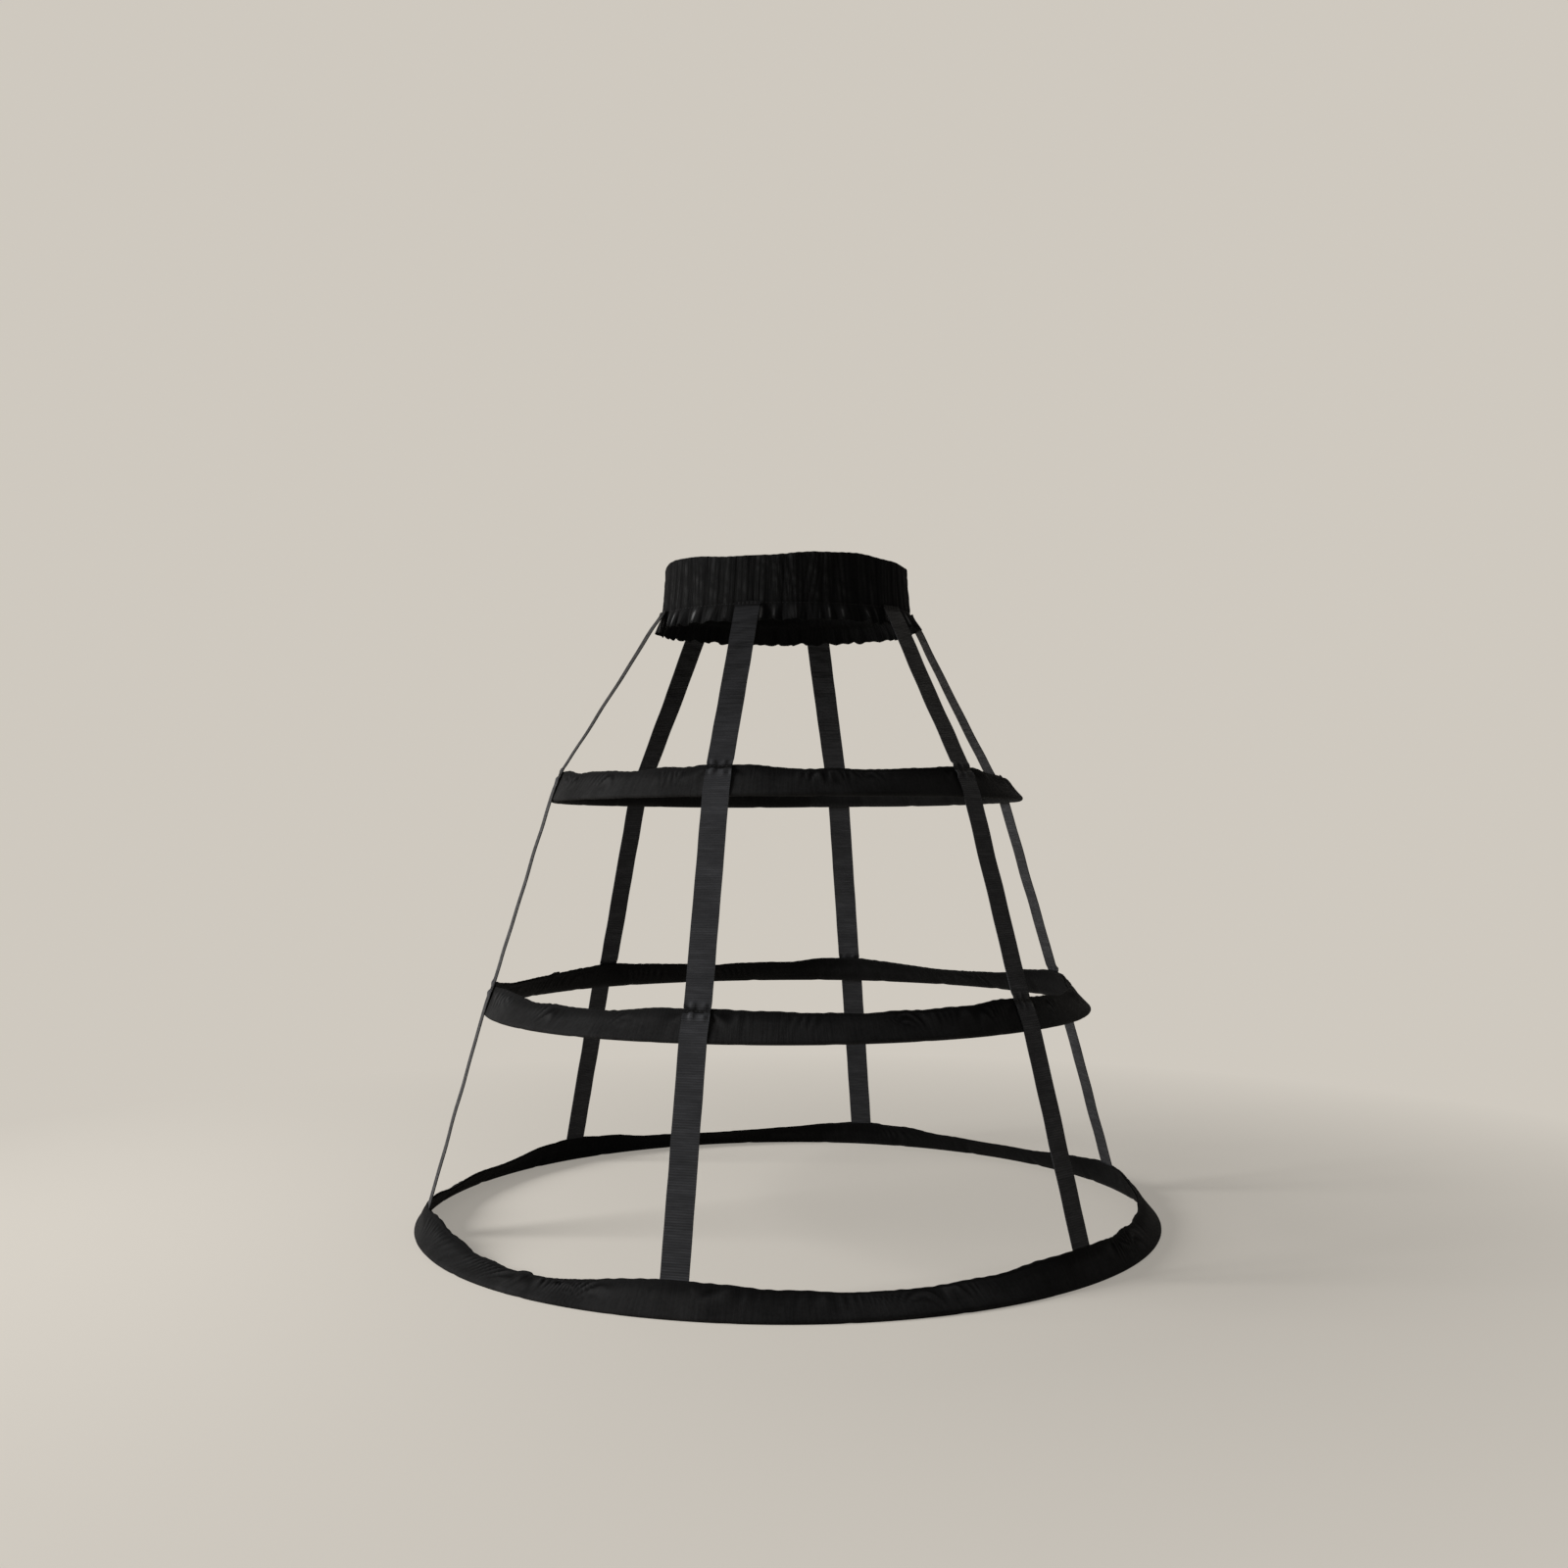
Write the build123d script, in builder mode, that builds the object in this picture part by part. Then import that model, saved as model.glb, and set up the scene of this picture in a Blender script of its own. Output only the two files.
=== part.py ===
from build123d import *
import os
from math import cos, exp, floor, radians, sin

os.makedirs("parts", exist_ok=True)

# A child's crinoline cage: a gathered elastic waistband, six ribbon tapes and
# three boned hoops that widen down to the hem. Millimetres and degrees.
# The origin is the centre of the waist opening, halfway up the elastic, +Z is
# up and -Y is the front. Azimuths count from the front, positive towards +X.

# Waist
waist_width = 193.0
waist_depth = 143.0
elastic_width = 35.0
elastic_thickness = 1.5
cover_thickness = 0.6
cover_turn = 2.3
gather_count = 46
gather_height = 1.6
gather_shoulder = 0.3
gather_rounding = 2.0
gather_drifts = ((0.2, 2.1), (0.12, 3.7))
pinch_depth = 0.3
ruffle_length = 14.0
ruffle_thickness = 1.0
ruffle_flare = 9.5
ruffle_wave = 2.6
ruffle_flare_under_tape = 4.2
ruffle_wave_under_tape = 1.6
tape_press_reach = 13.0

# Hoops: radius and drop of each lower edge, and the casing's lean from upright
# where each tape pulls it up and halfway to the next tape
top_hoop_radius = 195.0
top_hoop_drop = 175.5
top_leans_at_tapes = (26, 26, 31, 26, 26, 22)
top_leans_between = (42, 45, 48, 48, 38, 38)
middle_hoop_radius = 247.5
middle_hoop_drop = 344.5
middle_leans_at_tapes = (28, 24, 22, 30, 31, 20)
middle_leans_between = (44, 48, 57, 50, 49, 50)
bottom_hoop_radius = 300.0
bottom_hoop_drop = 513.5
bottom_leans_at_tapes = (34, 28, 25, 28, 31, 25)
bottom_leans_between = (64, 45, 54, 58, 55, 78)
lean_sharpness = 4
stations_per_tape = 8

# Casings and bones
casing_width = 25.0
casing_wall = 0.5
fold_flats = 3
seam_thickness = 2.4
seam_pucker = 0.6
pucker_beat = 2.4
bone_width = 8.0
bone_thickness = 1.5
bone_butt_gap = 0.6
joiner_length = 18.0
joiner_thickness = 0.8

# Tapes, evenly spaced on the hoops and sewn to the waistband at their own azimuths
tape_count = 6
first_tape_azimuth = -15.0
waist_azimuths = (-16.5, 54, 96, 165, 225, 284)
tape_width = 20.0
tape_thickness = 0.7
tape_lap = 1.0
pocket_depth = 8.0

# Clearances
slip = 0.2
pocket_slip = 0.2

half_elastic = elastic_width / 2
cavity_top = half_elastic + slip
cover_top = cavity_top + cover_turn
stitch_line = -cover_top
ruffle_edge = stitch_line - ruffle_length
cavity_depth = elastic_thickness + 2 * slip
cover_depth = 2 * cover_thickness + cavity_depth

bone_channel = bone_thickness + joiner_thickness + 3 * slip
casing_edge_radius = bone_channel / 2 + casing_wall
casing_top = casing_width - casing_edge_radius
mid_seam = casing_edge_radius - seam_thickness / 2
channel_width = bone_width + 2 * slip
tape_offset = slip + tape_thickness / 2

tape_pitch = 360 / tape_count
station_step = tape_pitch / stations_per_tape
station_count = tape_count * stations_per_tape
first_station = first_tape_azimuth + station_step / 2
join_azimuth = first_tape_azimuth - tape_pitch / 2
tape_azimuths = [first_tape_azimuth + tape_pitch * i for i in range(tape_count)]

HOOPS = {
    "top": (top_hoop_radius, top_hoop_drop, top_leans_at_tapes, top_leans_between),
    "middle": (middle_hoop_radius, middle_hoop_drop, middle_leans_at_tapes, middle_leans_between),
    "bottom": (bottom_hoop_radius, bottom_hoop_drop, bottom_leans_at_tapes, bottom_leans_between),
}


def outward(azimuth):
    return Vector(sin(radians(azimuth)), -cos(radians(azimuth)), 0)


def along(azimuth):
    return Vector(cos(radians(azimuth)), sin(radians(azimuth)), 0)


def apart(azimuth, other):
    return abs((azimuth - other + 180) % 360 - 180)


# The waist is an ellipse, and its azimuth is the ellipse's own parameter
def waist_point(azimuth, offset, height):
    across = waist_width / 2 + cover_depth + offset
    through = waist_depth / 2 + cover_depth + offset
    return Vector(across * sin(radians(azimuth)), -through * cos(radians(azimuth)), height)


def waist_along(azimuth):
    across = (waist_width / 2 + cover_depth) * cos(radians(azimuth))
    through = (waist_depth / 2 + cover_depth) * sin(radians(azimuth))
    return Vector(across, through, 0).normalized()


# A hoop's section plane: x points out of the band's face, y up the band, and
# the origin is the centre of its rounded lower edge
def lean_at(hoop, azimuth):
    at_tapes, between = HOOPS[hoop][2:]
    turned = (azimuth - first_tape_azimuth) / tape_pitch
    nearest = round(turned)
    loose = between[floor(turned) % tape_count]
    pull = cos(radians(180 * (turned - nearest))) ** lean_sharpness
    return loose + (at_tapes[nearest % tape_count] - loose) * pull


def edge_centre(hoop, azimuth):
    radius, drop = HOOPS[hoop][:2]
    return outward(azimuth) * (radius - casing_edge_radius) + Vector(0, 0, casing_edge_radius - drop)


def band_face(hoop, azimuth):
    lean = radians(lean_at(hoop, azimuth))
    return outward(azimuth) * cos(lean) + Vector(0, 0, sin(lean))


def station_plane(hoop, azimuth):
    return Plane(edge_centre(hoop, azimuth), x_dir=band_face(hoop, azimuth), z_dir=-along(azimuth))


# Halfway between two stations, where a tape, a pocket or a joiner lies flat
def flat_plane(hoop, azimuth):
    sides = (azimuth - station_step / 2, azimuth + station_step / 2)
    centre = (edge_centre(hoop, sides[0]) + edge_centre(hoop, sides[1])) / 2
    face = band_face(hoop, sides[0]) + band_face(hoop, sides[1])
    return Plane(centre, x_dir=face, z_dir=-along(azimuth))


# A point of a hoop's band, and the way along the band there
def band_stop(hoop, azimuth, out, up):
    plane = flat_plane(hoop, azimuth)
    return plane.from_local_coords((out, up, 0)), along(azimuth)


# The strip is folded round the bone at its lower edge
def casing_section(plane, width):
    top = width - casing_edge_radius
    out = casing_edge_radius
    turns = [180 / fold_flats * i for i in range(fold_flats + 1)]
    outline = [(out * cos(radians(turn)), -out * sin(radians(turn))) for turn in turns]
    outline += [(-out, channel_width + casing_wall), (out - seam_thickness, top), (out, top)]
    with BuildSketch(plane) as section:
        with BuildLine():
            Polyline(*outline, close=True)
        make_face()
    return section.sketch


def strip_section(plane, outer_face, start, thickness, width):
    with BuildSketch(plane) as section:
        with Locations((outer_face - thickness / 2, start + width / 2)):
            Rectangle(thickness, width)
    return section.sketch


def half_rings():
    half = station_count // 2
    for first in (0, half):
        yield [first + i for i in range(half + 1)]


def station_azimuth(number):
    return first_station + station_step * number


def puckered_width(number):
    return casing_width + seam_pucker * sin(pucker_beat * (number % station_count))


def channel_section(plane):
    return strip_section(plane, bone_channel / 2, 0, bone_channel, channel_width)


def bone_section(plane):
    outer_face = bone_channel / 2 - slip
    return strip_section(plane, outer_face, slip, bone_thickness, bone_width)


def joiner_section(plane):
    outer_face = bone_channel / 2 - 2 * slip - bone_thickness
    return strip_section(plane, outer_face, slip, joiner_thickness, bone_width)


def station_planes(hoop, numbers):
    return [station_plane(hoop, station_azimuth(number)) for number in numbers]


# Each gather is a rounded fold from valley to valley, with a shoulder each side.
# The drifts, each a size and a beat, keep the gathers from being all one width
def gather_azimuth(number):
    drift = sum(size * sin(beat * (number % gather_count)) for size, beat in gather_drifts)
    return 360 / gather_count * (number + drift)


def gathered_outline(height, valley, crest):
    points = []
    for number in range(gather_count):
        left, right = gather_azimuth(number), gather_azimuth(number + 1)
        points.append(waist_point(left, valley(left), 0))
        for share in (gather_shoulder, 1 - gather_shoulder):
            azimuth = left + (right - left) * share
            points.append(waist_point(azimuth, crest(azimuth), 0))
    with BuildSketch(Plane.XY.offset(height)) as outline:
        with BuildLine():
            Polyline(*points, close=True)
        make_face()
    return outline.sketch


def smooth_outline(offset):
    with BuildSketch() as outline:
        Ellipse(waist_point(90, offset, 0).X, -waist_point(0, offset, 0).Y)
    return outline.sketch


def tape_press(azimuth):
    nearest = min(apart(azimuth, sewn_at) for sewn_at in waist_azimuths)
    return exp(-((nearest / tape_press_reach) ** 2))


def ruffle_valley(azimuth):
    press = tape_press(azimuth)
    flare = ruffle_flare + (ruffle_flare_under_tape - ruffle_flare) * press
    wave = ruffle_wave + (ruffle_wave_under_tape - ruffle_wave) * press
    return flare - wave


def ruffle_crest(azimuth):
    return ruffle_flare + (ruffle_flare_under_tape - ruffle_flare) * tape_press(azimuth)


def ruffle_valley_inside(azimuth):
    return ruffle_valley(azimuth) - ruffle_thickness


def ruffle_crest_inside(azimuth):
    return ruffle_crest(azimuth) - ruffle_thickness


def constant(value):
    return lambda azimuth: value


pinched_crest = gather_height - pinch_depth
rounded_crest = gather_height - cover_thickness
outer_levels = [
    (ruffle_edge, ruffle_valley, ruffle_crest),
    (stitch_line, constant(-pinch_depth), constant(pinched_crest)),
    (stitch_line + gather_rounding, constant(0), constant(gather_height)),
    (cover_top - gather_rounding, constant(0), constant(gather_height)),
    (cover_top, constant(-cover_thickness), constant(rounded_crest)),
]
ruffle_inner_levels = [
    (ruffle_edge, ruffle_valley_inside, ruffle_crest_inside),
    (stitch_line, constant(-pinch_depth - ruffle_thickness), constant(pinched_crest - ruffle_thickness)),
]

# Waistband cover: gathered cloth folded over the elastic, with a ruffle below
with BuildPart() as waistband_cover:
    loft([gathered_outline(*level) for level in outer_levels], ruled=True)
    loft([gathered_outline(*level) for level in ruffle_inner_levels], ruled=True, mode=Mode.SUBTRACT)
    with BuildSketch(Plane.XY.offset(ruffle_edge)):
        Ellipse(waist_width / 2, waist_depth / 2)
    extrude(amount=cover_top - ruffle_edge, mode=Mode.SUBTRACT)
    with BuildSketch(Plane.XY.offset(-cavity_top)):
        add(smooth_outline(-cover_thickness))
        add(smooth_outline(-cover_thickness - cavity_depth), mode=Mode.SUBTRACT)
    extrude(amount=2 * cavity_top, mode=Mode.SUBTRACT)
waistband_cover.part.label = "waistband_cover"
export_step(waistband_cover.part, "parts/waistband_cover.step")

# Waist elastic, loose in the cover's channel
with BuildPart() as waist_elastic:
    with BuildSketch(Plane.XY.offset(-half_elastic)):
        add(smooth_outline(-cover_thickness - slip))
        add(smooth_outline(-cover_thickness - slip - elastic_thickness), mode=Mode.SUBTRACT)
    extrude(amount=elastic_width)
waist_elastic.part.label = "waist_elastic"
export_step(waist_elastic.part, "parts/waist_elastic.step")


# Hoop casings: a strip folded round the bone, sewn flat along its top edge
for hoop in HOOPS:
    with BuildPart() as casing:
        for numbers in half_rings():
            widths = [puckered_width(number) for number in numbers]
            loft([casing_section(*pair) for pair in zip(station_planes(hoop, numbers), widths)], ruled=True)
        for numbers in half_rings():
            channel = [channel_section(plane) for plane in station_planes(hoop, numbers)]
            loft(channel, ruled=True, mode=Mode.SUBTRACT)
        if hoop == "bottom":
            for azimuth in tape_azimuths:
                foot, across = band_stop(hoop, azimuth, mid_seam, casing_top - pocket_depth)
                up = flat_plane(hoop, azimuth).y_dir
                with BuildSketch(Plane(foot, x_dir=across, z_dir=up)):
                    Rectangle(tape_width + 2 * pocket_slip, tape_thickness + 2 * pocket_slip)
                extrude(amount=2 * pocket_depth, mode=Mode.SUBTRACT)
    casing.part.label = f"{hoop}_hoop_casing"
    export_step(casing.part, f"parts/{hoop}_hoop_casing.step")

# Hoop bones: a flat spring strip bent to a ring, its ends butted at the join
for hoop in HOOPS:
    with BuildPart() as bone:
        for numbers in half_rings():
            loft([bone_section(plane) for plane in station_planes(hoop, numbers)], ruled=True)
        with BuildSketch(flat_plane(hoop, join_azimuth)):
            Rectangle(2 * casing_width, 2 * casing_width)
        extrude(amount=bone_butt_gap / 2, both=True, mode=Mode.SUBTRACT)
    bone.part.label = f"{hoop}_hoop_bone"
    export_step(bone.part, f"parts/{hoop}_hoop_bone.step")

# Bone joiners: a short splint inside the ring, across the butted ends
for hoop in HOOPS:
    with BuildPart() as joiner:
        extrude(joiner_section(flat_plane(hoop, join_azimuth)), amount=joiner_length / 2, both=True)
    joiner.part.label = f"{hoop}_bone_joiner"
    export_step(joiner.part, f"parts/{hoop}_bone_joiner.step")


# A tape's stations from the waist down: its middle line and its way across
def tape_stops(azimuth, sewn_at):
    at_waist = waist_along(sewn_at)
    over_gathers = gather_height + tape_offset
    stops = [
        (waist_point(sewn_at, over_gathers, stitch_line + gather_rounding + tape_lap), at_waist),
        (waist_point(sewn_at, over_gathers, stitch_line + gather_rounding), at_waist),
        (waist_point(sewn_at, pinched_crest + tape_offset, stitch_line), at_waist),
    ]
    for hoop in ("top", "middle"):
        on_face = casing_edge_radius + tape_offset
        stops.append(band_stop(hoop, azimuth, on_face, casing_top))
        stops.append(band_stop(hoop, azimuth, on_face, 0))
    stops.append(band_stop("bottom", azimuth, mid_seam, casing_top + tape_thickness))
    stops.append(band_stop("bottom", azimuth, mid_seam, casing_top - pocket_depth + pocket_slip))
    return stops


def tape_sections(azimuth, sewn_at):
    stops = tape_stops(azimuth, sewn_at)
    points = [point for point, across in stops]
    runs = [(below - above).normalized() for above, below in zip(points, points[1:])]
    sections = []
    for number, (point, across) in enumerate(stops):
        beside = runs[max(number - 1, 0):number + 1]
        down = sum(beside, Vector(0, 0, 0))
        down = down - across * down.dot(across)
        with BuildSketch(Plane(point, x_dir=across, z_dir=down)) as section:
            Rectangle(tape_width, tape_thickness)
        sections.append(section.sketch)
    return sections


TAPES = ["front_left", "front_right", "right", "back_right", "back_left", "left"]
for name, azimuth, sewn_at in zip(TAPES, tape_azimuths, waist_azimuths):
    with BuildPart() as tape:
        loft(tape_sections(azimuth, sewn_at), ruled=True)
    tape.part.label = f"{name}_tape"
    export_step(tape.part, f"parts/{name}_tape.step")
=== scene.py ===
import math

import bpy
import numpy as np
from bpy.props import FloatProperty, FloatVectorProperty, IntProperty, PointerProperty
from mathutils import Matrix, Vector


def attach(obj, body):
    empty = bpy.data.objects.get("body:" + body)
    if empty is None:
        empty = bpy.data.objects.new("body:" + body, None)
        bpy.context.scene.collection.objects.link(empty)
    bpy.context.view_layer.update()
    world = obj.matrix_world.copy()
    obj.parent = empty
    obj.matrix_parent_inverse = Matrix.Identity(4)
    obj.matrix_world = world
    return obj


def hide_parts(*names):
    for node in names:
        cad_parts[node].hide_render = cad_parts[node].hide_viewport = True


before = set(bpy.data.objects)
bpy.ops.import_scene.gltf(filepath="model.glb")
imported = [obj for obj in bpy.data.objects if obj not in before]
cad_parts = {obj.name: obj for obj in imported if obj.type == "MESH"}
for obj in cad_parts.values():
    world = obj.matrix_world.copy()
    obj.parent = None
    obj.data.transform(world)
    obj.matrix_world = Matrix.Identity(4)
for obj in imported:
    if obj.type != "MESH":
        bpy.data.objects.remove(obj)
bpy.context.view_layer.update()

bl_info = {
    "name": "Crinoline cage",
    "version": (1, 0, 0),
    "blender": (4, 5, 0),
    "location": "3D View > Sidebar > Crinoline",
    "description": "A child's crinoline cage: gathered waistband, ribbon tapes and boned hoops",
    "category": "Object",
}

MM = 0.001
HOOPS = ("top", "middle", "bottom")
TAPES = ("front_left", "front_right", "right", "back_right", "back_left", "left")
SMOOTH_ANGLE = math.radians(70)
LEAN_SHARPNESS = 4
WAIST_RADIUS = 90 * MM


# Settings: lengths in metres, angles in radians, azimuths from the front towards +X

class WaistSettings(bpy.types.PropertyGroup):
    width: FloatProperty(
        name="Width", description="Inside width of the waist opening", default=0.193, unit="LENGTH")
    depth: FloatProperty(
        name="Depth", description="Inside depth of the waist opening", default=0.143, unit="LENGTH")
    wall: FloatProperty(
        name="Wall", description="From the inside of the cover to the foot of its gathers",
        default=0.0031, unit="LENGTH")
    half_channel: FloatProperty(
        name="Half channel", description="Half the height of the elastic's channel",
        default=0.0177, unit="LENGTH")
    turn: FloatProperty(
        name="Turn", description="Cloth above and below the channel", default=0.0023, unit="LENGTH")
    gather_height: FloatProperty(
        name="Gather height", description="How far the gathers stand out",
        default=0.0016, unit="LENGTH")
    ruffle_length: FloatProperty(
        name="Ruffle length", description="Ruffle below the stitch line",
        default=0.014, unit="LENGTH")
    ruffle_flare: FloatProperty(
        name="Ruffle flare", description="How far the ruffle's edge stands out",
        default=0.0095, unit="LENGTH")
    flare_under_tape: FloatProperty(
        name="Flare under tape", description="The same, where a tape holds it down",
        default=0.0056, unit="LENGTH")
    spread: FloatProperty(
        name="Spread", description="How far the band's face stands out at the stitch line",
        default=0.0028, unit="LENGTH")
    side_room: FloatProperty(
        name="Side room", description="How much fuller the cloth stands on the right side",
        default=0.0012, unit="LENGTH")
    ruffle_wave: FloatProperty(
        name="Ruffle wave", description="Depth of the ruffle's folds", default=0.0042, unit="LENGTH")
    edge_sway: FloatProperty(
        name="Edge sway", description="How far the top edge rises and dips",
        default=0.0017, unit="LENGTH")
    broad_folds: IntProperty(
        name="Broad folds", description="Folds that run down into the ruffle", default=46, min=12)
    fine_folds: IntProperty(
        name="Fine folds", description="Fine pleats over the elastic", default=127, min=24)
    cloth: FloatProperty(
        name="Cloth", description="Thickness of the cotton", default=0.0005, unit="LENGTH")
    cut_width: FloatProperty(
        name="Cut width", description="Width of the strip before it is folded",
        default=0.118, unit="LENGTH")
    cut_length: FloatProperty(
        name="Cut length", description="Length of the strip before it is gathered",
        default=0.74, unit="LENGTH")
    colour: FloatVectorProperty(
        name="Colour", description="Gathered cotton", subtype="COLOR", size=3,
        default=(0.0088, 0.0088, 0.0089), min=0, max=1)


def leans(name, degrees):
    return FloatVectorProperty(
        name=name, description="The casing's lean from upright, from the first tape on", size=6,
        default=[math.radians(lean) for lean in degrees], unit="ROTATION")


class HoopSettings(bpy.types.PropertyGroup):
    radius: FloatVectorProperty(
        name="Radii", description="Lower edge of the top, middle and bottom hoop", size=3,
        default=(0.195, 0.2475, 0.300), unit="LENGTH")
    drop: FloatVectorProperty(
        name="Drops", description="Lower edges below the middle of the elastic", size=3,
        default=(0.1755, 0.3445, 0.5135), unit="LENGTH")
    top_at_tapes: leans("Top hoop at tapes", (26, 26, 31, 26, 26, 22))
    top_between: leans("Top hoop between tapes", (42, 45, 48, 48, 38, 38))
    middle_at_tapes: leans("Middle hoop at tapes", (28, 24, 22, 30, 31, 20))
    middle_between: leans("Middle hoop between tapes", (44, 48, 57, 50, 49, 50))
    bottom_at_tapes: leans("Bottom hoop at tapes", (34, 28, 25, 28, 31, 25))
    bottom_between: leans("Bottom hoop between tapes", (64, 45, 54, 58, 55, 78))
    casing_width: FloatProperty(
        name="Casing width", description="Finished width of the folded strip",
        default=0.025, unit="LENGTH")
    edge_radius: FloatProperty(
        name="Edge radius", description="Outside radius of the fold round the bone",
        default=0.00195, unit="LENGTH")
    bone_room: FloatProperty(
        name="Bone room", description="How far up the strip the bone's channel reaches",
        default=0.0089, unit="LENGTH")
    seam: FloatProperty(
        name="Seam thickness", description="The casing's four layers at its top edge",
        default=0.0024, unit="LENGTH")
    cloth: FloatProperty(
        name="Cloth", description="Thickness of the cotton", default=0.0005, unit="LENGTH")
    cut_width: FloatProperty(
        name="Cut width", description="Width of the strip before it is folded",
        default=0.062, unit="LENGTH")
    seam_in: FloatProperty(
        name="Seam in", description="Stitch line below the casing's top edge",
        default=0.003, unit="LENGTH")
    cloth_join: FloatProperty(
        name="Cloth join", description="Azimuth at which the casing's ends overlap",
        default=math.radians(-41), unit="ROTATION")
    colour: FloatVectorProperty(
        name="Colour", description="Casing cotton", subtype="COLOR", size=3,
        default=(0.0104, 0.0103, 0.0104), min=0, max=1)


class TapeSettings(bpy.types.PropertyGroup):
    first: FloatProperty(
        name="First azimuth", description="The front left tape, from the front",
        default=math.radians(-15), unit="ROTATION")
    sewn_at: FloatVectorProperty(
        name="Sewn at", description="Azimuths at which the tapes are sewn to the waistband", size=6,
        default=[math.radians(at) for at in (-16.5, 54, 96, 165, 225, 284)], unit="ROTATION")
    width: FloatProperty(name="Width", description="Width of the ribbon", default=0.020, unit="LENGTH")
    thickness: FloatProperty(
        name="Thickness", description="Thickness of the ribbon", default=0.0007, unit="LENGTH")
    gap: FloatProperty(
        name="Gap", description="Between a ribbon and the cloth under it", default=0.0002, unit="LENGTH")
    lap: FloatProperty(
        name="Lap", description="Ribbon above the waistband's stitch line",
        default=0.0016, unit="LENGTH")
    pocket: FloatProperty(
        name="Pocket", description="Ribbon caught in the bottom casing's seam",
        default=0.0078, unit="LENGTH")
    rib: FloatProperty(
        name="Rib", description="Pitch of the ribbon's ribs", default=0.0017, unit="LENGTH")
    colour: FloatVectorProperty(
        name="Colour", description="Ribbon", subtype="COLOR", size=3,
        default=(0.0295, 0.0300, 0.0325), min=0, max=1)


class ThreadSettings(bpy.types.PropertyGroup):
    pitch: FloatProperty(
        name="Pitch", description="From one stitch to the next", default=0.0033, unit="LENGTH")
    fill: FloatProperty(
        name="Fill", description="Share of the pitch that a stitch covers",
        default=0.86, min=0.3, max=1)
    diameter: FloatProperty(
        name="Diameter", description="Sewing thread", default=0.00046, unit="LENGTH")
    colour: FloatVectorProperty(
        name="Colour", description="Thread", subtype="COLOR", size=3,
        default=(0.0140, 0.0140, 0.0150), min=0, max=1)


class StageSettings(bpy.types.PropertyGroup):
    lens: FloatProperty(name="Lens", description="Focal length in millimetres", default=35.6, min=1)
    eye: FloatVectorProperty(
        name="Eye", description="Where the camera stands", size=3, subtype="XYZ",
        default=(-0.002, -1.2921, -0.2070))
    tilt: FloatProperty(
        name="Tilt", description="The camera's tilt above level",
        default=math.radians(2.078), unit="ROTATION")
    roll: FloatProperty(
        name="Roll", description="The camera's slight turn to one side",
        default=math.radians(0.184), unit="ROTATION")
    floor: FloatProperty(name="Floor", description="Radius of the floor", default=6.0, unit="LENGTH")
    backdrop: FloatVectorProperty(
        name="Backdrop", description="Pale floor and background", subtype="COLOR", size=3,
        default=(0.624, 0.584, 0.523), min=0, max=1)
    room: FloatVectorProperty(
        name="Room", description="Even light from all round", subtype="COLOR", size=3,
        default=(0.125, 0.125, 0.125), min=0, max=1)
    key: FloatProperty(
        name="Key", description="Power of the soft lamp on the left", default=71.0, min=0)
    fill: FloatProperty(
        name="Fill", description="Power of the soft lamp on the right", default=0.5, min=0)


def settings(name):
    return getattr(bpy.context.scene, "crinoline_" + name)


# Shapes shared by the pieces; arrays of azimuths go in, arrays of points come out

def outward(azimuth):
    return np.stack([np.sin(azimuth), -np.cos(azimuth), np.zeros_like(azimuth)], axis=-1)


def round_about(azimuth):
    return np.stack([np.cos(azimuth), np.sin(azimuth), np.zeros_like(azimuth)], axis=-1)


def ring(stations):
    return np.arange(stations) * (2 * math.pi / stations)


def wander(azimuth, seed, slow, fast, terms=9):
    """A seeded, closed wave round the ring, mostly between -1 and 1"""
    rng = np.random.default_rng(seed)
    beats = rng.integers(slow, fast + 1, terms)
    phases = rng.uniform(0, 2 * math.pi, terms)
    waves = [np.sin(beat * azimuth + phase) for beat, phase in zip(beats, phases)]
    return sum(waves) / math.sqrt(terms / 2) / 1.6


def ease(value, low, high):
    share = np.clip((value - low) / (high - low), 0, 1)
    return share * share * (3 - 2 * share)


def off_nearest_tape(azimuth):
    pitch = 2 * math.pi / len(TAPES)
    return (azimuth - settings("tapes").first + pitch / 2) % pitch - pitch / 2


def between_angles(azimuth, centre):
    return (azimuth - centre + math.pi) % (2 * math.pi) - math.pi


def tape_azimuths():
    pitch = 2 * math.pi / len(TAPES)
    return [settings("tapes").first + pitch * number for number in range(len(TAPES))]


def waist_point(azimuth, offset, height):
    waist = settings("waist")
    across = (waist.width / 2 + waist.wall + offset) * np.sin(azimuth)
    through = -(waist.depth / 2 + waist.wall + offset) * np.cos(azimuth)
    return np.stack([across, through, np.broadcast_to(height, across.shape)], axis=-1)


def hoop_axes(hoop, azimuth):
    """The centre of the fold round the bone, the way out of the band's face and the way up it"""
    hoops = settings("hoops")
    number = HOOPS.index(hoop)
    turned = (azimuth - settings("tapes").first) * len(TAPES) / (2 * math.pi)
    nearest = np.round(turned).astype(int)
    loose = np.array(getattr(hoops, hoop + "_between"))[np.floor(turned).astype(int) % len(TAPES)]
    held = np.array(getattr(hoops, hoop + "_at_tapes"))[nearest % len(TAPES)]
    pull = np.cos(math.pi * (turned - nearest)) ** LEAN_SHARPNESS
    lean = (loose + (held - loose) * pull)[..., None]
    out, up = outward(azimuth), np.array([0.0, 0.0, 1.0])
    reach, height = hoops.radius[number] - hoops.edge_radius, hoops.edge_radius - hoops.drop[number]
    face = out * np.cos(lean) + up * np.sin(lean)
    rise = up * np.cos(lean) - out * np.sin(lean)
    return out * reach + up * height, face, rise


# Cloth and thread as meshes

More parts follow.
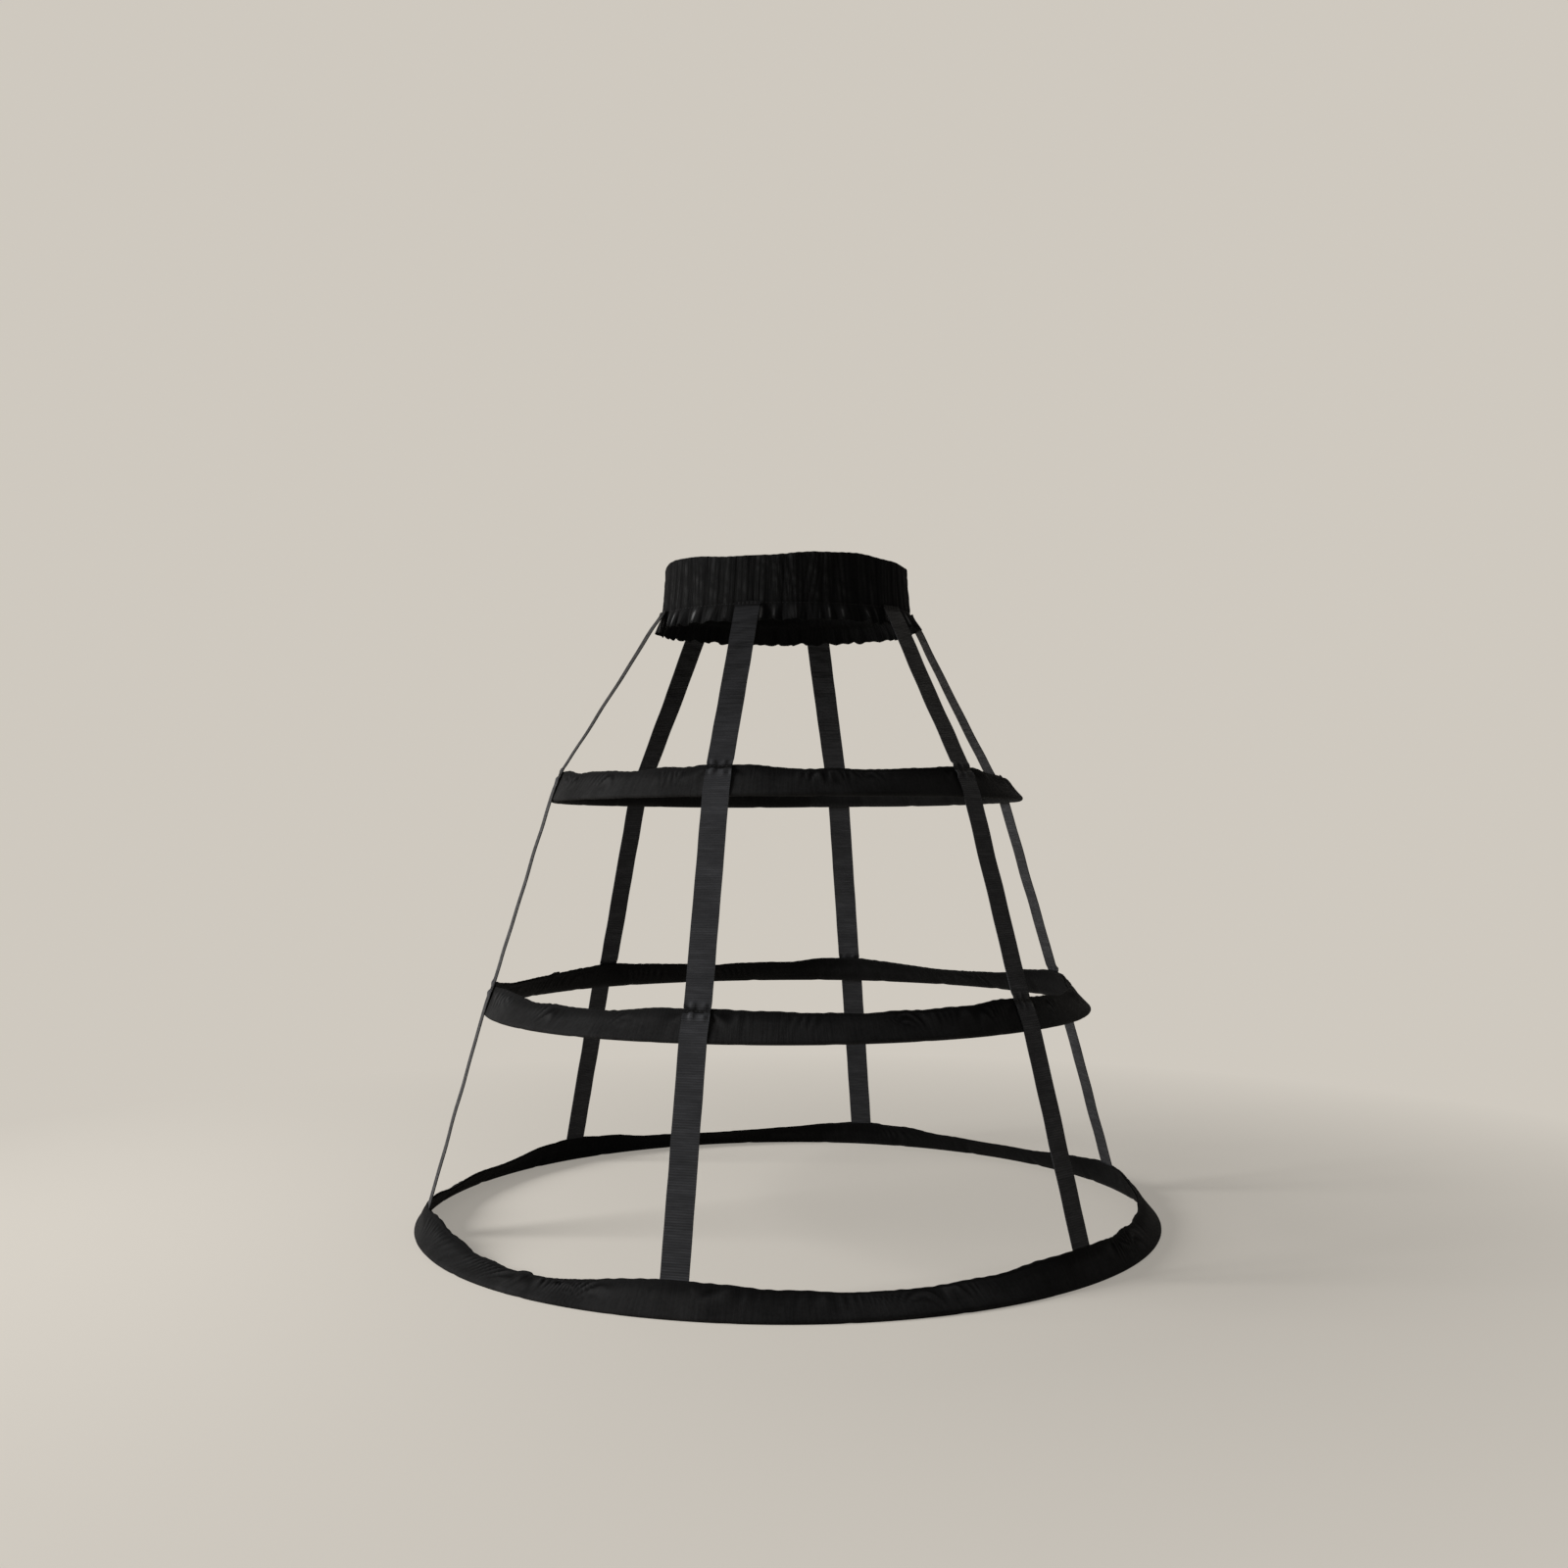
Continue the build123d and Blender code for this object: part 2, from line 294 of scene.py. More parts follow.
def cloth_sides(grid, thickness, closed):
    """The front and the back of a cloth, and the way out of its front"""
    if closed:
        along = np.roll(grid, -1, axis=0) - np.roll(grid, 1, axis=0)
    else:
        along = np.gradient(grid, axis=0)
    normal = np.cross(along, np.gradient(grid, axis=1))
    normal /= np.maximum(np.linalg.norm(normal, axis=-1, keepdims=True), 1e-12)
    return grid + normal * thickness / 2, grid - normal * thickness / 2, normal


def cloth_faces(stations, rows, closed):
    """The front, the back and the edges of a cloth whose points are its front's and then its back's"""
    last = stations if closed else stations - 1
    station, row = np.meshgrid(np.arange(last), np.arange(rows - 1), indexing="ij")
    station, row = station.ravel(), row.ravel()
    ahead = (station + 1) % stations
    edge = np.arange(last)
    onward = (edge + 1) % stations
    low = np.zeros_like(edge)
    top = low + rows - 1

    def corner(which, level, side=0):
        return which * rows + level + side * stations * rows

    def wall(start, end, start_level, end_level):
        return (corner(start, start_level), corner(end, end_level),
                corner(end, end_level, 1), corner(start, start_level, 1))

    quads = [
        (corner(station, row), corner(ahead, row), corner(ahead, row + 1), corner(station, row + 1)),
        (corner(station, row, 1), corner(station, row + 1, 1),
         corner(ahead, row + 1, 1), corner(ahead, row, 1)),
        wall(onward, edge, low, low),
        wall(edge, onward, top, top),
    ]
    if not closed:
        level = np.arange(rows - 1)
        first, end = np.zeros_like(level), np.zeros_like(level) + stations - 1
        quads.append(wall(first, first, level, level + 1))
        quads.append(wall(end, end, level + 1, level))
    return np.concatenate([np.stack(quad, axis=1) for quad in quads])


def run_lengths(grid, axis):
    """The cloth's mean length along its stations or its rows, up to each of them"""
    steps = np.linalg.norm(np.diff(grid, axis=axis), axis=-1)
    total = np.cumsum(steps.mean(axis=1 - axis))
    return np.concatenate([[0.0], total])


def line_lengths(line):
    return np.concatenate([[0.0], np.cumsum(np.linalg.norm(np.diff(line, axis=0), axis=1))])


def along_line(places, lengths, values):
    """Points or directions at some places on a line, from their values at the line's own points"""
    return np.stack([np.interp(places, lengths, values[:, axis]) for axis in range(3)], axis=-1)


def add_piece(name, mesh):
    piece = bpy.data.objects.new(name, mesh)
    bpy.context.scene.collection.objects.link(piece)
    bpy.ops.object.select_all(action="DESELECT")
    piece.select_set(True)
    bpy.context.view_layer.objects.active = piece
    return piece


def cloth_piece(name, grid, painted_shading, thickness, closed):
    """A sheet of cloth from its middle surface, a grid of stations by rows. Its UVs are in metres"""
    front, back, normal = cloth_sides(grid, thickness, closed)
    stations, rows = grid.shape[:2]
    points = np.concatenate([front.reshape(-1, 3), back.reshape(-1, 3)])
    faces = cloth_faces(stations, rows, closed)
    mesh = bpy.data.meshes.new(name)
    mesh.from_pydata(points.tolist(), [], faces.tolist())
    lengths = run_lengths(np.concatenate([grid, grid[:1]]) if closed else grid, 0)
    station, row = np.divmod(faces % (stations * rows), rows)
    u, v = lengths[station], run_lengths(grid, 1)[row]
    if closed:
        wraps = station.max(axis=1) - station.min(axis=1) > stations / 2
        u = np.where(wraps[:, None] & (station == 0), lengths[-1], u)
    layer = mesh.uv_layers.new(name="cloth")
    layer.data.foreach_set("uv", np.stack([u, v], axis=-1).ravel())
    # Painted light and shade per point: paler on fold crests, darker in folds, read by the finishes'
    # colour ramps
    height = mesh.attributes.new(name="painted_shading", type="FLOAT", domain="POINT")
    height.data.foreach_set("value", np.tile(np.clip(painted_shading, 0, 1).ravel(), 2))
    piece = add_piece(name, mesh)
    bpy.ops.object.shade_smooth_by_angle(angle=SMOOTH_ANGLE)
    return piece, front, back, normal


def model_stitch():
    """One stitch a metre long and a metre thick, along X, its ends thinner and sinking into the cloth"""
    shoulder, end, thinned, sunk = 0.34, 0.45, 0.45, 0.45
    bpy.ops.object.select_all(action="DESELECT")
    bpy.ops.mesh.primitive_cylinder_add(
        vertices=6, radius=0.5, depth=1, end_fill_type="NGON", rotation=(0, math.radians(90), 0))
    stitch = bpy.context.object
    bpy.ops.object.transform_apply(location=False, rotation=True, scale=False)
    bpy.ops.object.mode_set(mode="EDIT")
    for cut in (shoulder, -shoulder):
        bpy.ops.mesh.select_all(action="SELECT")
        bpy.ops.mesh.bisect(plane_co=(cut, 0, 0), plane_no=(1, 0, 0))
    bpy.ops.mesh.select_all(action="DESELECT")
    bpy.ops.object.mode_set(mode="OBJECT")
    for vertex in stitch.data.vertices:
        vertex.select = abs(vertex.co.x) > end
    bpy.ops.object.mode_set(mode="EDIT")
    bpy.ops.transform.resize(value=(1, thinned, thinned))
    bpy.ops.transform.translate(value=(0, 0, -sunk))
    bpy.ops.object.mode_set(mode="OBJECT")
    points = np.array([vertex.co[:] for vertex in stitch.data.vertices])
    faces = [list(face.vertices) for face in stitch.data.polygons]
    shape = stitch.data
    bpy.data.objects.remove(stitch)
    bpy.data.meshes.remove(shape)
    return points, faces


def sewn_piece(name, rows):
    """Rows of stitches as one piece.

    A row is its points, the ways out of the cloth there, whether it is closed, and a test for the
    places that it skips, or None.
    """
    thread = settings("thread")
    shape, shape_faces = model_stitch()
    points, faces = [], []
    for line, out, closed, skips in rows:
        if closed:
            line, out = np.concatenate([line, line[:1]]), np.concatenate([out, out[:1]])
        lengths = line_lengths(line)
        count = max(1, round(lengths[-1] / thread.pitch))
        pitch = lengths[-1] / count
        half_fill = thread.fill / 2
        for number in range(count):
            places = pitch * (number + np.array([0.5 - half_fill, 0.5, 0.5 + half_fill]))
            start, middle, end = along_line(places, lengths, line)
            if skips is not None and skips(middle):
                continue
            run = end - start
            length = np.linalg.norm(run)
            run /= length
            lift = along_line(places[1], lengths, out)
            lift -= run * lift.dot(run)
            lift /= np.linalg.norm(lift)
            side = np.cross(lift, run)
            centre = (start + end) / 2 + lift * thread.diameter * 0.22
            local = shape * np.array([length, thread.diameter, thread.diameter])
            base = len(points)
            points.extend((centre + local @ np.stack([run, side, lift])).tolist())
            faces.extend([[base + corner for corner in face] for face in shape_faces])
    mesh = bpy.data.meshes.new(name)
    mesh.from_pydata(points, [], faces)
    piece = add_piece(name, mesh)
    bpy.ops.object.mode_set(mode="EDIT")
    bpy.ops.mesh.select_all(action="SELECT")
    bpy.ops.mesh.normals_make_consistent(inside=False)
    bpy.ops.object.mode_set(mode="OBJECT")
    bpy.ops.object.shade_smooth_by_angle(angle=SMOOTH_ANGLE)
    return piece


# Finishes

class Finish:
    """A material and its nodes, laid out from left to right"""

    def __init__(self, name, roughness, sheen=0.0, sheen_roughness=0.5, specular=0.5, metallic=0.0):
        self.material = bpy.data.materials.new(name)
        self.material.use_nodes = True
        self.tree = self.material.node_tree
        self.shader = self.tree.nodes["Principled BSDF"]
        self.shader.inputs["Roughness"].default_value = roughness
        self.shader.inputs["Metallic"].default_value = metallic
        self.shader.inputs["Specular IOR Level"].default_value = specular
        self.shader.inputs["Sheen Weight"].default_value = sheen
        self.shader.inputs["Sheen Roughness"].default_value = sheen_roughness
        self.places = 0

    def node(self, kind, **values):
        made = self.tree.nodes.new("ShaderNode" + kind)
        self.places += 1
        made.location = (-1500 + 180 * (self.places % 8), -260 * (self.places // 8))
        for name, value in values.items():
            setattr(made, name, value)
        return made

    def link(self, out, into):
        self.tree.links.new(out, into)

    def cloth_place(self):
        return self.node("UVMap", uv_map="cloth").outputs["UV"]

    def object_place(self):
        return self.node("TexCoord").outputs["Object"]

    # The per-point painted light and shade: paler on fold crests, darker in folds
    def painted_shading(self):
        return self.node("Attribute", attribute_name="painted_shading").outputs["Fac"]

    def stretched(self, place, along, across):
        made = self.node("Mapping")
        made.inputs["Scale"].default_value = (along, across, 1)
        self.link(place, made.inputs["Vector"])
        return made.outputs["Vector"]

    def blend(self, *shares):
        """The sum of some values, each times its share"""
        total = 0.0
        for value, share in shares:
            total = self.math("MULTIPLY_ADD", value, share, total)
        return total

    def noise(self, place, scale, detail=3.0, roughness=0.55):
        made = self.node("TexNoise")
        made.inputs["Scale"].default_value = scale
        made.inputs["Detail"].default_value = detail
        made.inputs["Roughness"].default_value = roughness
        self.link(place, made.inputs["Vector"])
        return made.outputs["Fac"]

    def bands(self, place, direction, pitch, distortion=0.0):
        made = self.node("TexWave", wave_type="BANDS", bands_direction=direction, wave_profile="SIN")
        made.inputs["Scale"].default_value = math.pi / (10 * pitch)
        made.inputs["Distortion"].default_value = distortion
        made.inputs["Detail"].default_value = 0.0
        self.link(place, made.inputs["Vector"])
        return made.outputs["Fac"]

    def math(self, operation, *values):
        made = self.node("Math", operation=operation)
        for socket, value in zip(made.inputs, values):
            if isinstance(value, (int, float)):
                socket.default_value = value
            else:
                self.link(value, socket)
        return made.outputs["Value"]

    def span(self, value, low, high, out_low, out_high):
        made = self.node("MapRange")
        limits = {"From Min": low, "From Max": high, "To Min": out_low, "To Max": out_high}
        for name, number in limits.items():
            made.inputs[name].default_value = number
        self.link(value, made.inputs["Value"])
        return made.outputs["Result"]

    def colours(self, factor, *stops):
        made = self.node("ValToRGB")
        ramp = made.color_ramp
        while len(ramp.elements) < len(stops):
            ramp.elements.new(0.5)
        for element, (place, colour) in zip(ramp.elements, stops):
            element.position = place
            element.color = (*colour, 1)
        self.link(factor, made.inputs["Fac"])
        self.link(made.outputs["Color"], self.shader.inputs["Base Color"])

    def bump(self, height, strength, distance, before=None):
        made = self.node("Bump")
        made.inputs["Strength"].default_value = strength
        made.inputs["Distance"].default_value = distance
        self.link(height, made.inputs["Height"])
        if before is not None:
            self.link(before, made.inputs["Normal"])
        self.link(made.outputs["Normal"], self.shader.inputs["Normal"])
        return made.outputs["Normal"]


def shade(colour, share):
    return tuple(min(1.0, part * share) for part in colour)


def cotton_finish(name, colour, thread_pitch, streaks, peak_highlight):
    """Matt woven cotton: plain weave, slubs and mottling, painted shade in its folds, painted highlights
    on crests.

    Streaks is how much the tone runs along the pleats as their painted shade and highlight, and the last
    argument how much paler the painted highlights on the highest crests are.
    """
    cotton = Finish(name, 0.86, sheen=0.01, sheen_roughness=0.45, specular=0.03)
    cloth, place, painted_shading = cotton.cloth_place(), cotton.object_place(), cotton.painted_shading()
    mottle = cotton.noise(place, 55.0, 4.0, 0.6)
    slub = cotton.noise(cloth, 420.0, 2.0)
    streak = cotton.noise(cotton.stretched(cloth, 1.0, 0.07), 430.0, 2.0, 0.6)
    patch = cotton.noise(place, 16.0)
    # Painted highlights and painted shade from the folds and the pleat streaks, mixed with the cloth's
    # own mottling, slubs and patches
    tone = cotton.blend((painted_shading, 0.60), (streak, 0.34 * streaks), (mottle, 0.25),
                        (slub, 0.15 - 0.10 * streaks), (patch, 0.34 * (1 - streaks)))
    cotton.colours(tone, (0.34, shade(colour, 0.45)), (0.56, colour), (0.76, shade(colour, 2.3)),
                   (0.90, shade(colour, peak_highlight)))
    weave = cotton.math("MULTIPLY", cotton.bands(cloth, "X", thread_pitch, 0.4),
                        cotton.bands(cloth, "Y", thread_pitch, 0.4))
    cotton.link(cotton.span(painted_shading, 0.3, 1.0, 0.93, 0.68), cotton.shader.inputs["Roughness"])
    crumple = cotton.bump(cotton.noise(place, 130.0, 3.0), 0.35, 0.0006)
    pleat = cotton.bump(streak, 0.2 + 0.7 * streaks, 0.0009, crumple)
    cotton.bump(weave, 0.5, 0.00012, pleat)
    return cotton.material


def ribbon_finish(name, colour, rib):
    """Ribbed ribbon: fine cross ribs in uneven bands and a cool tone, with painted shade where it is
    pinched and painted highlights where it puffs
    """
    ribbon = Finish(name, 0.5, specular=0.04)
    cloth, place, painted_shading = ribbon.cloth_place(), ribbon.object_place(), ribbon.painted_shading()
    ribs = ribbon.bands(cloth, "X", rib, 0.25)
    thread = ribbon.bands(cloth, "Y", 0.0004, 0.2)
    cross = ribbon.noise(ribbon.stretched(cloth, 1.0, 0.10), 420.0, 3.0, 0.65)
    broad = ribbon.noise(ribbon.stretched(cloth, 1.0, 0.30), 90.0, 2.0)
    drift = ribbon.noise(place, 24.0, 3.0)
    # Painted light and shade from the stitches' puffs and pinches, mixed with the ribbon's own ribs and
    # bands
    tone = ribbon.blend((painted_shading, 0.55), (ribs, 0.10), (cross, 0.42), (broad, 0.22), (drift, 0.16))
    ribbon.colours(tone, (0.42, shade(colour, 0.10)), (0.60, shade(colour, 0.75)), (0.72, colour),
                   (0.95, shade(colour, 2.0)))
    ribbon.link(ribbon.span(cross, 0.3, 0.7, 0.62, 0.44), ribbon.shader.inputs["Roughness"])
    banded = ribbon.bump(cross, 0.5, 0.0004)
    ribbed = ribbon.bump(ribs, 0.8, 0.00022, banded)
    ribbon.bump(thread, 0.3, 0.00006, ribbed)
    return ribbon.material


def thread_finish(name, colour):
    """Polyester sewing thread with a slight gloss and its twist"""
    thread = Finish(name, 0.6, specular=0.15)
    place = thread.object_place()
    twist = thread.noise(place, 2600.0, 1.0)
    thread.colours(twist, (0.3, shade(colour, 0.7)), (0.7, shade(colour, 1.4)))
    thread.bump(twist, 0.5, 0.00008)
    return thread.material


def elastic_finish(name):
    """Woven black elastic, ribbed along its length"""
    elastic = Finish(name, 0.7, sheen=0.1, specular=0.3)
    place = elastic.object_place()
    cords = elastic.bands(place, "Z", 0.0016)
    fuzz = elastic.noise(place, 900.0, 2.0)
    tone = elastic.blend((cords, 0.6), (fuzz, 0.4))
    elastic.colours(tone, (0.25, (0.010, 0.010, 0.010)), (0.75, (0.030, 0.030, 0.031)))
    elastic.bump(cords, 0.8, 0.0003)
    return elastic.material


def bone_finish(name):
    """Milky spring plastic with faint draw lines"""
    bone = Finish(name, 0.38, specular=0.5)
    place = bone.object_place()
    lines = bone.bands(place, "Z", 0.0011, 0.6)
    cloud = bone.noise(place, 40.0, 3.0)
    tone = bone.blend((lines, 0.2), (cloud, 0.8))
    bone.colours(tone, (0.3, (0.66, 0.66, 0.62)), (0.7, (0.80, 0.80, 0.77)))
    bone.bump(lines, 0.15, 0.0001)
    return bone.material


def joiner_finish(name):
    """Thin rolled steel, brushed along its length"""
    joiner = Finish(name, 0.34, metallic=1.0)
    place = joiner.object_place()
    brushed = joiner.noise(place, 700.0, 2.0)
    joiner.colours(brushed, (0.3, (0.52, 0.52, 0.52)), (0.7, (0.66, 0.66, 0.65)))
    joiner.bump(brushed, 0.2, 0.00005)
    return joiner.material


def settle(piece, material):
    piece.data.materials.clear()
    piece.data.materials.append(material)
    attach(piece, "root")


# Waistband

def waist_spread(height):
    """How far the face leans out, from its top at 1 to the stitch line at -1"""
    return settings("waist").spread * ((1 - height) / 2) ** 2


def fuller(azimuth):
    """Where the cloth stands fuller, round the right side, from 0 to 1"""
    return np.clip(np.cos(azimuth - math.radians(84)), 0, 1) ** 3


def off_nearest_sewn(azimuth):
    sewn = np.array(settings("tapes").sewn_at)
    return np.abs(between_angles(azimuth[:, None], sewn[None, :])).min(axis=1)


def folds(phase, sharpness):
    return np.abs(np.sin(math.pi * phase)) ** sharpness


def waistband_grid(stations):
    """The cover's cloth from the ruffle's front edge, up over the elastic and down to its back edge.

    Returns its points, their painted light and shade, and the row of the stitch line in front.
    """
    waist = settings("waist")
    azimuth = ring(stations)
    top = waist.half_channel + waist.turn
    half_cloth = waist.cloth / 2
    clear = 0.05 * MM
    between_layers = waist.cloth + 0.12 * MM
    inner = -waist.wall + half_cloth + clear
    press = 1 - ease(off_nearest_sewn(azimuth) * WAIST_RADIUS, 11 * MM, 24 * MM)
    slack = wander(azimuth, 3, 3, 9)
    pull = wander(azimuth, 4, 20, 60)
    # Strength of the ruffle's painted highlights, fold by fold
    shine = np.clip(0.82 + 0.45 * wander(azimuth, 15, 18, 44), 0.3, 1.0)

    def broad(height):
        sway = 0.22 * wander(azimuth, 5, 6, 18) + 0.10 * height * wander(azimuth, 6, 8, 22)
        return waist.broad_folds * azimuth / (2 * math.pi) + sway

    def fine(height):
        sway = 0.26 * wander(azimuth, 7, 9, 30) + 0.42 * height * wander(azimuth, 8, 6, 20)
        return waist.fine_folds * azimuth / (2 * math.pi) + sway

    def outer(height):
        """The face's offset and its painted light and shade at a height from -1, the stitch line, to 1,
        the top
        """
        pinch = np.exp(-((height + 1) / 0.10) ** 2)
        depth = 0.62 + 0.38 * wander(azimuth + 0.3 * height, 9, 14, 50)
        small = np.clip(depth, 0.15, 1.0) * folds(fine(height), 0.75)
        large = folds(broad(height), 0.85)
        belly = 0.30 * (1 - height ** 2)
        share = (0.40 * large * (1 - 0.25 * height) + 0.42 * small + 0.45 * belly) * (1 - 0.45 * pinch)
        foot = -0.1 * MM
        room = waist.gather_height - half_cloth - clear - foot
        relief = foot + room * np.clip(share, 0, 1.0) - 0.25 * MM * pinch
        # Painted highlights on the crests of the folds and painted shade at the stitch line's pinch
        painted_shading = 0.10 + 0.42 * small * large + 0.14 * large - 0.12 * pinch
        return relief + waist_spread(height) + waist.side_room * fuller(azimuth), painted_shading

    rows, crests = [], []

    def add(offset, height, painted_shading, turned=azimuth):
        rows.append(waist_point(turned, offset, height))
        crests.append(painted_shading + 0 * azimuth)

    def add_ruffle(share, layer):
        """A row of the ruffle, from 0, the stitch line, to 1, its edge, in its front or back layer"""
        flare = waist.ruffle_flare + (waist.flare_under_tape - waist.ruffle_flare) * press
        flare = flare * (1 + 0.5 * fuller(azimuth))
        wave = waist.ruffle_wave * (1 - 0.5 * press)
        depth = np.clip(0.75 + 0.45 * slack + 0.2 * pull, 0.35, 1.15)
        phase = broad(-1 - 0.7 * share)
        large = folds(phase, 0.85 - 0.15 * share)
        small = folds(fine(-1 - 0.7 * share), 0.9)
        out = flare * share ** 0.85 - wave * depth * share * (1 - large) + 0.45 * MM * share * small
        start, painted_shading = outer(-1.0)
        edge = 0.9 * MM * wander(azimuth, 11, 25, 80) + 1.1 * MM * (large - 0.5)
        edge = np.clip(edge, -1.7 * MM, 1.6 * MM)
        edge = edge + layer * 0.5 * MM * (1 + wander(azimuth, 12, 30, 90))
        drop = waist.ruffle_length * share - edge * share ** 2
        swing = 0.85 * MM * share * np.sin(2 * math.pi * phase) * (1 - 0.6 * press)
        swing = swing + 0.5 * MM * share * pull
        # Painted highlights on the broad folds' crests, strongest where the ruffle flares out; the back
        # layer is painted darker
        lit = large ** 6 * shine
        lit = lit * (0.35 + 0.65 * ease(share, 0.0, 0.4)) * (1 - 0.55 * ease(share, 0.75, 1.0))
        painted_shading = 0.10 + 0.78 * lit + 0.12 * small if layer == 0 else 0.12 * large
        offset = start * (1 - share) + out - layer * between_layers
        add(offset, -top - drop, painted_shading, azimuth + swing / WAIST_RADIUS)

    edge_wave = (0.5 * MM + waist.edge_sway * np.sin(4 * azimuth - math.radians(22))
                 + 0.35 * MM * wander(azimuth, 13, 4, 14) + 0.15 * MM * wander(azimuth, 14, 40, 110))

    def lift(height):
        return edge_wave * ease(height, 0.3, 1.0)

    ruffle_shares = (1.0, 0.92, 0.8, 0.66, 0.52, 0.38, 0.25, 0.12, 0.0)
    for share in ruffle_shares:
        add_ruffle(share, 0)
    shoulder = 0.86
    for height in np.linspace(-0.94, shoulder, 13):
        offset, painted_shading = outer(height)
        add(offset, top * height + lift(height), painted_shading)
    face, painted_shading = outer(shoulder)
    middle, half = (face + inner) / 2, (face - inner) / 2
    for turn in np.radians((22, 50, 78, 105, 132, 160)):
        rise = (top - half_cloth - shoulder * top) * math.sin(turn)
        rise = rise + lift(shoulder) + (edge_wave - lift(shoulder)) * math.sin(turn)
        shadow = 0.5 + 0.5 * math.cos(turn)
        add(middle + half * math.cos(turn), shoulder * top + rise, painted_shading * shadow)
    # Painted shade: the inner layer of the cover is given a dark tone
    hidden = 0.08
    hang = inner + 0.10 * MM * folds(fine(0.0), 1.0)
    for height in np.linspace(0.84, -0.86, 7):
        add(hang, top * height + lift(height), hidden)
    meet = outer(-1.0)[0] - between_layers
    add(hang + 0.35 * (meet - hang), -0.93 * top, hidden)
    for share in reversed(ruffle_shares):
        add_ruffle(share, 1)
    return np.stack(rows, axis=1), np.stack(crests, axis=1), ruffle_shares.index(0.0)


def tape_line(number):
    """A tape's middle line from the waist down, its ways across and out, and its two stitch crossings"""
    tapes, hoops, waist = settings("tapes"), settings("hoops"), settings("waist")
    azimuth, sewn = np.array(tape_azimuths()[number]), np.array(tapes.sewn_at[number])
    top = -waist.half_channel - waist.turn
    stand = tapes.gap + tapes.thickness / 2
    over = waist.gather_height + stand + waist.side_room * fuller(sewn)
    foot = hoops.casing_width - hoops.edge_radius
    at_waist = np.array([(waist.width / 2 + waist.wall) * math.cos(sewn),
                         (waist.depth / 2 + waist.wall) * math.sin(sewn), 0.0])
    at_waist /= np.linalg.norm(at_waist)
    lapped = waist_spread(-1 - tapes.lap / top)
    stops = [(waist_point(sewn, over + lapped, top + tapes.lap), at_waist),
             (waist_point(sewn, over + waist_spread(-0.92), top * 0.92), at_waist),
             (waist_point(sewn, over - 0.35 * MM + waist.spread, top), at_waist)]

    def on_band(hoop, out, up):
        centre, face, rise = hoop_axes(hoop, azimuth)
        stops.append((centre + face * out + rise * up, round_about(azimuth)))

    first_stops = []
    for hoop in ("top", "middle"):
        first_stops.append(len(stops))
        out = hoops.edge_radius + stand
        on_band(hoop, out, foot + 0.3 * MM)
        on_band(hoop, out, foot - 2 * hoops.seam_in)
        on_band(hoop, out + 0.45 * MM, foot - 14 * MM)
        on_band(hoop, out, 1.5 * MM)
    in_seam = hoops.edge_radius - hoops.seam / 2
    on_band("bottom", in_seam, foot)
    on_band("bottom", in_seam, foot - tapes.pocket)
    points = np.array([point for point, across in stops])
    reach = line_lengths(points)
    marks = np.linspace(0, reach[-1], int(reach[-1] / MM) + 1)
    middle = along_line(marks, reach, points)
    across = along_line(marks, reach, np.array([across for point, across in stops]))
    for smoothing in range(3):
        middle[1:-1] = (middle[:-2] + 2 * middle[1:-1] + middle[2:]) / 4
    across /= np.linalg.norm(across, axis=1, keepdims=True)
    face = np.cross(across, np.gradient(middle, axis=0))
    face /= np.linalg.norm(face, axis=1, keepdims=True)
    calm = ease(marks, 8 * MM, 40 * MM)
    for stop in reach[3:]:
        calm = calm * ease(np.abs(marks - stop), 4 * MM, 30 * MM)
    crossings = [reach[stop] + hoops.seam_in for stop in first_stops]
    return marks, middle, across, face, calm, crossings


